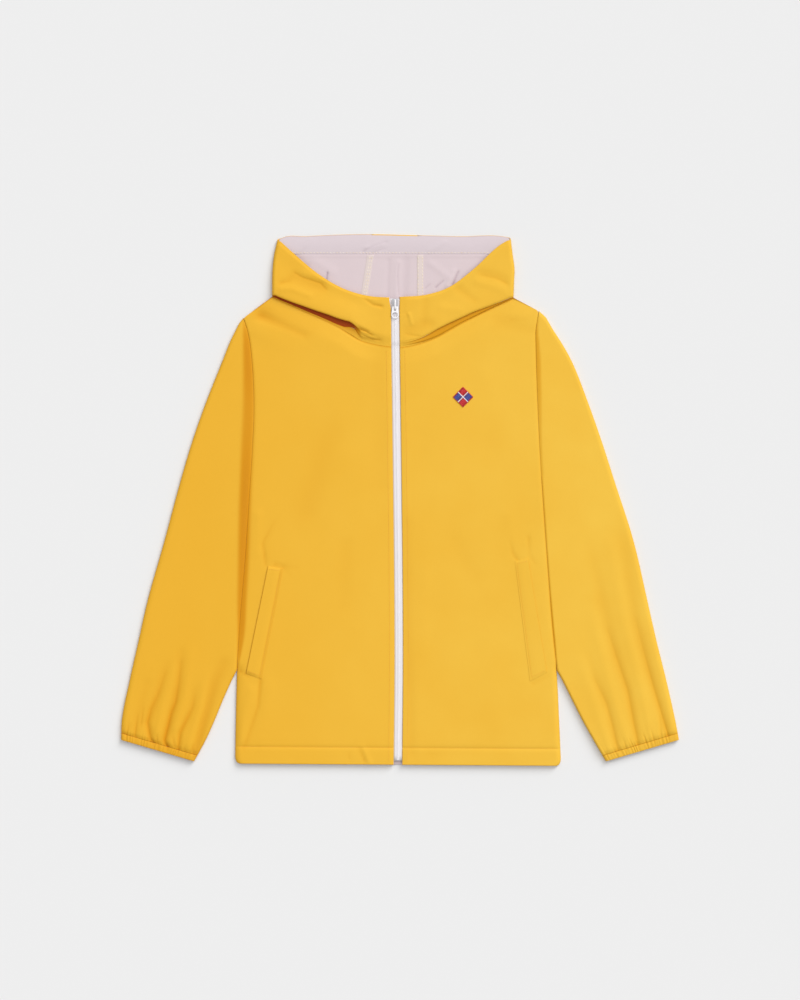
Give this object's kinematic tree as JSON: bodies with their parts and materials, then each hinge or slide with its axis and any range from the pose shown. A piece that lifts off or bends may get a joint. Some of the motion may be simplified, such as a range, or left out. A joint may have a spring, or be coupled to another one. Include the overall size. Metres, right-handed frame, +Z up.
{
  "type": "rain jacket",
  "caption": "Lined, hooded rain jacket laid flat with its zip closed, slanted welt pockets, elastic cuffs and a pull tab that swings.",
  "frame": {"origin": "middle of the jacket's outline on the surface that it lies on", "axes": "+X from the wearer's right cuff to the left one, +Y from the hem to the hood, +Z up from the surface"},
  "size_m": [0.749, 0.713, 0.0121],
  "materials": {
    "shell_cloth": "matt coated weave",
    "lining_cloth": "smooth taffeta",
    "zip_tape": "woven tape",
    "zip_teeth": "satin",
    "coated_metal": "satin enamel",
    "badge_thread": "embroidery thread"
  },
  "bodies": {
    "jacket": {"back": "shell_cloth", "front_right": "shell_cloth", "front_left": "shell_cloth", "sleeve_right": "shell_cloth", "sleeve_left": "shell_cloth", "cuff_right": "shell_cloth", "cuff_left": "shell_cloth", "hood_centre": "shell_cloth", "hood_right": "shell_cloth", "hood_left": "shell_cloth", "hood_lining_centre": "lining_cloth", "hood_lining_right": "lining_cloth", "hood_lining_left": "lining_cloth", "hood_brim_facing": "lining_cloth", "pocket_welt_right": "shell_cloth", "pocket_welt_left": "shell_cloth", "zip_tape_right": "zip_tape", "zip_tape_left": "zip_tape", "zip_chain": "zip_teeth", "zip_slider": "coated_metal", "badge": "badge_thread"},
    "pull_tab": {"zip_pull": "coated_metal"}
  },
  "joints": [
    {"name": "pull_tab_swing", "type": "hinge", "parent": "jacket", "child": "pull_tab", "pos_m": [-0.00659, 0.2586, 0.00989], "axis": [-1, 0, 0], "range_deg": [0, 150]}
  ]
}
